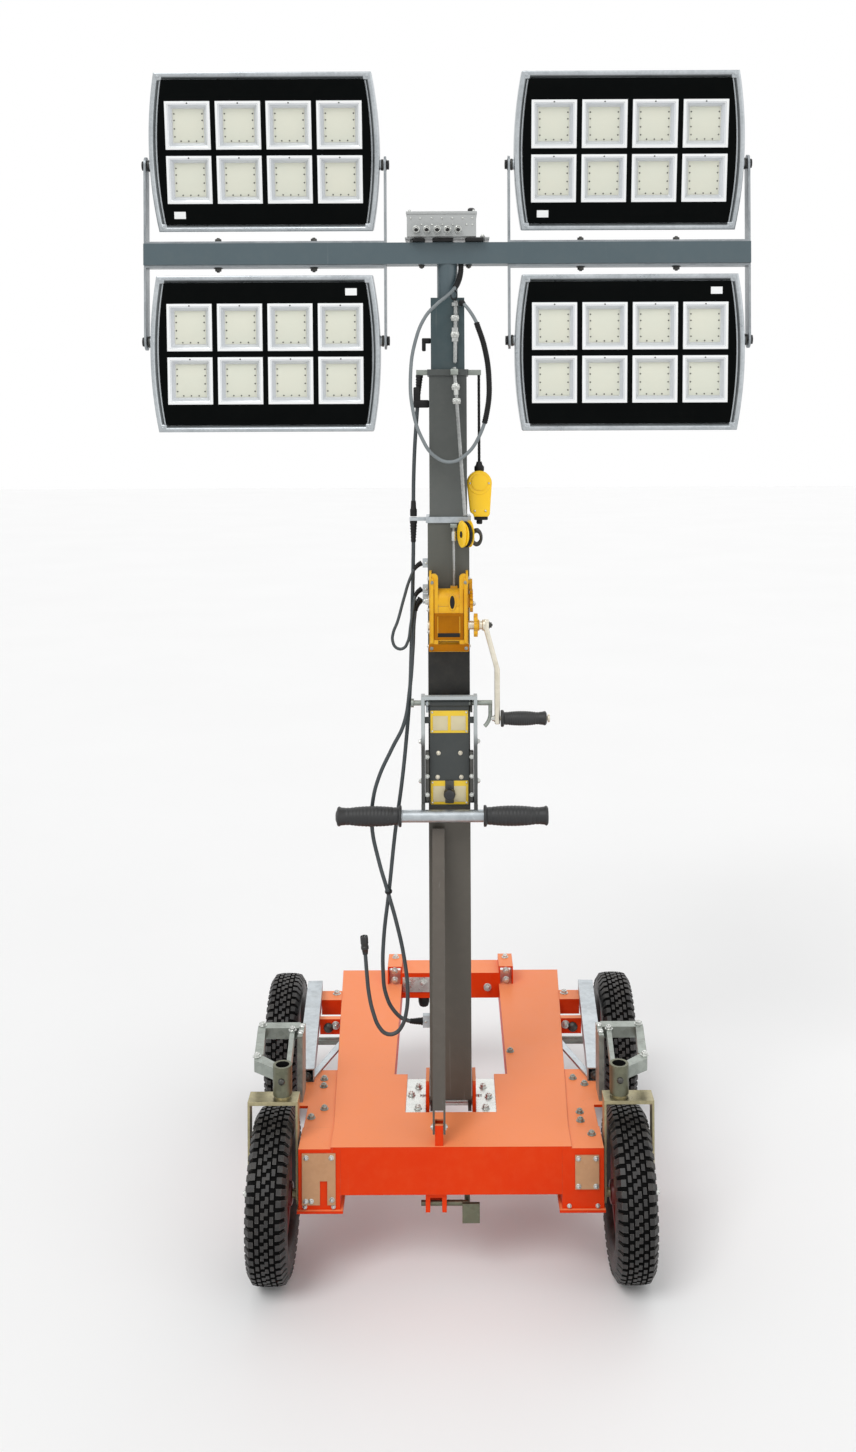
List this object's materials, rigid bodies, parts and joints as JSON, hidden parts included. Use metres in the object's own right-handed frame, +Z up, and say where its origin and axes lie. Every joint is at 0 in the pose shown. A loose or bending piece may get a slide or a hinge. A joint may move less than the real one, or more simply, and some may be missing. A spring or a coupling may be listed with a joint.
{
  "type": "mobile light tower",
  "caption": "Hand-pushed mobile light tower: floodlights in tilting brackets on a cross bar over a winch-raised telescopic mast that folds back onto a wheeled trolley.",
  "frame": {"origin": "on the ground midway between the front and rear axles, on the centre line", "axes": "+Z up along the raised mast, -Y towards the front (winch, handle and lamp faces), +X to the right seen from the front"},
  "size_m": [1.426, 1.09, 2.6933],
  "materials": {
    "orange_paint": "semi-gloss",
    "zinc_plate": "satin",
    "galvanised_steel": "satin",
    "tyre_rubber": "matt",
    "rim_paint": "semi-gloss",
    "grey_paint": "semi-gloss",
    "dark_paint": "semi-gloss",
    "winch_yellow": "semi-gloss",
    "wire_rope": "satin",
    "grip_rubber": "matt",
    "box_grey": "semi-gloss",
    "light_housing": "satin",
    "light_panel": "gloss",
    "cable_black": "matt"
  },
  "bodies": {
    "base": {"deck": "orange_paint", "rear_beam": "orange_paint", "corner_boxes": "orange_paint", "zinc_plates": "zinc_plate", "cross_tubes": "galvanised_steel", "side_plates": "orange_paint", "side_bars": "galvanised_steel", "frame_lugs": "orange_paint", "wheel_hoops": "galvanised_steel", "foot_pin": "galvanised_steel", "catch": "zinc_plate", "fork_left": "zinc_plate", "fork_right": "zinc_plate"},
    "wheel_fl": {"tyre_front_left": "tyre_rubber", "rim_front_left": "rim_paint"},
    "wheel_fr": {"tyre_front_right": "tyre_rubber", "rim_front_right": "rim_paint"},
    "wheel_rl": {"tyre_rear_left": "tyre_rubber", "rim_rear_left": "rim_paint"},
    "wheel_rr": {"tyre_rear_right": "tyre_rubber", "rim_rear_right": "rim_paint"},
    "mast": {"outer_tube": "grey_paint", "winch": "winch_yellow", "winch_rope": "wire_rope", "sheave": "winch_yellow", "stay": "grey_paint", "pull_pin": "galvanised_steel", "mast_cable": "cable_black", "hang_cable": "cable_black", "supply_cable": "cable_black", "cable_plug": "cable_black"},
    "handle": {"handle_plate": "dark_paint", "handle_frame": "galvanised_steel", "handle_bar": "galvanised_steel", "handle_grips": "grip_rubber"},
    "crank": {"crank": "zinc_plate"},
    "crank_grip": {"crank_grip": "grip_rubber"},
    "mid": {"mid_tube": "grey_paint", "arrester": "winch_yellow", "lift_rope": "wire_rope", "riser_cable": "cable_black"},
    "top": {"top_tube": "grey_paint", "pole": "grey_paint", "cross_bar": "grey_paint", "light_brackets": "galvanised_steel", "junction_box": "box_grey", "loop_cable": "cable_black"},
    "light_ul": {"light_upper_left": "light_housing", "panel_upper_left": "light_panel"},
    "light_ur": {"light_upper_right": "light_housing", "panel_upper_right": "light_panel"},
    "light_ll": {"light_lower_left": "light_housing", "panel_lower_left": "light_panel"},
    "light_lr": {"light_lower_right": "light_housing", "panel_lower_right": "light_panel"}
  },
  "joints": [
    {"name": "mast_fold", "type": "hinge", "parent": "base", "child": "mast", "pos_m": [0, -0.194, 0.29], "axis": [-1, 0, 0], "range_deg": [0, 80]},
    {"name": "mid_slide", "type": "slide", "parent": "mast", "child": "mid", "axis": [0, 0, 1], "range_m": [0, 1.15]},
    {"name": "top_slide", "type": "slide", "parent": "mid", "child": "top", "axis": [0, 0, 1], "range_m": [0, 1.15]},
    {"name": "tilt_ul", "type": "hinge", "parent": "top", "child": "light_ul", "pos_m": [-0.424, -0.194, 2.481], "axis": [1, 0, 0], "range_deg": [-75, 75]},
    {"name": "tilt_ur", "type": "hinge", "parent": "top", "child": "light_ur", "pos_m": [0.424, -0.194, 2.481], "axis": [1, 0, 0], "range_deg": [-75, 75]},
    {"name": "tilt_ll", "type": "hinge", "parent": "top", "child": "light_ll", "pos_m": [-0.424, -0.194, 2.069], "axis": [1, 0, 0], "range_deg": [-75, 75]},
    {"name": "tilt_lr", "type": "hinge", "parent": "top", "child": "light_lr", "pos_m": [0.424, -0.194, 2.069], "axis": [1, 0, 0], "range_deg": [-75, 75]},
    {"name": "wheel_fl", "type": "hinge", "parent": "base", "child": "wheel_fl", "pos_m": [-0.391, -0.37, 0.175], "axis": [1, 0, 0], "continuous": true},
    {"name": "wheel_fr", "type": "hinge", "parent": "base", "child": "wheel_fr", "pos_m": [0.391, -0.37, 0.175], "axis": [1, 0, 0], "continuous": true},
    {"name": "wheel_rl", "type": "hinge", "parent": "base", "child": "wheel_rl", "pos_m": [-0.4513, 0.37, 0.175], "axis": [1, 0, 0], "continuous": true},
    {"name": "wheel_rr", "type": "hinge", "parent": "base", "child": "wheel_rr", "pos_m": [0.4513, 0.37, 0.175], "axis": [1, 0, 0], "continuous": true},
    {"name": "crank_turn", "type": "hinge", "parent": "mast", "child": "crank", "pos_m": [0, -0.29, 1.417], "axis": [1, 0, 0], "continuous": true},
    {"name": "grip_spin", "type": "hinge", "parent": "crank", "child": "crank_grip", "pos_m": [0.12, -0.29, 1.205], "axis": [1, 0, 0], "continuous": true},
    {"name": "handle_swing", "type": "hinge", "parent": "mast", "child": "handle", "pos_m": [0, -0.266, 1.236], "axis": [-1, 0, 0], "range_deg": [0, 80]}
  ],
  "couplings": [
    {"joint": "top_slide", "follows": "mid_slide", "ratio": 1}
  ]
}
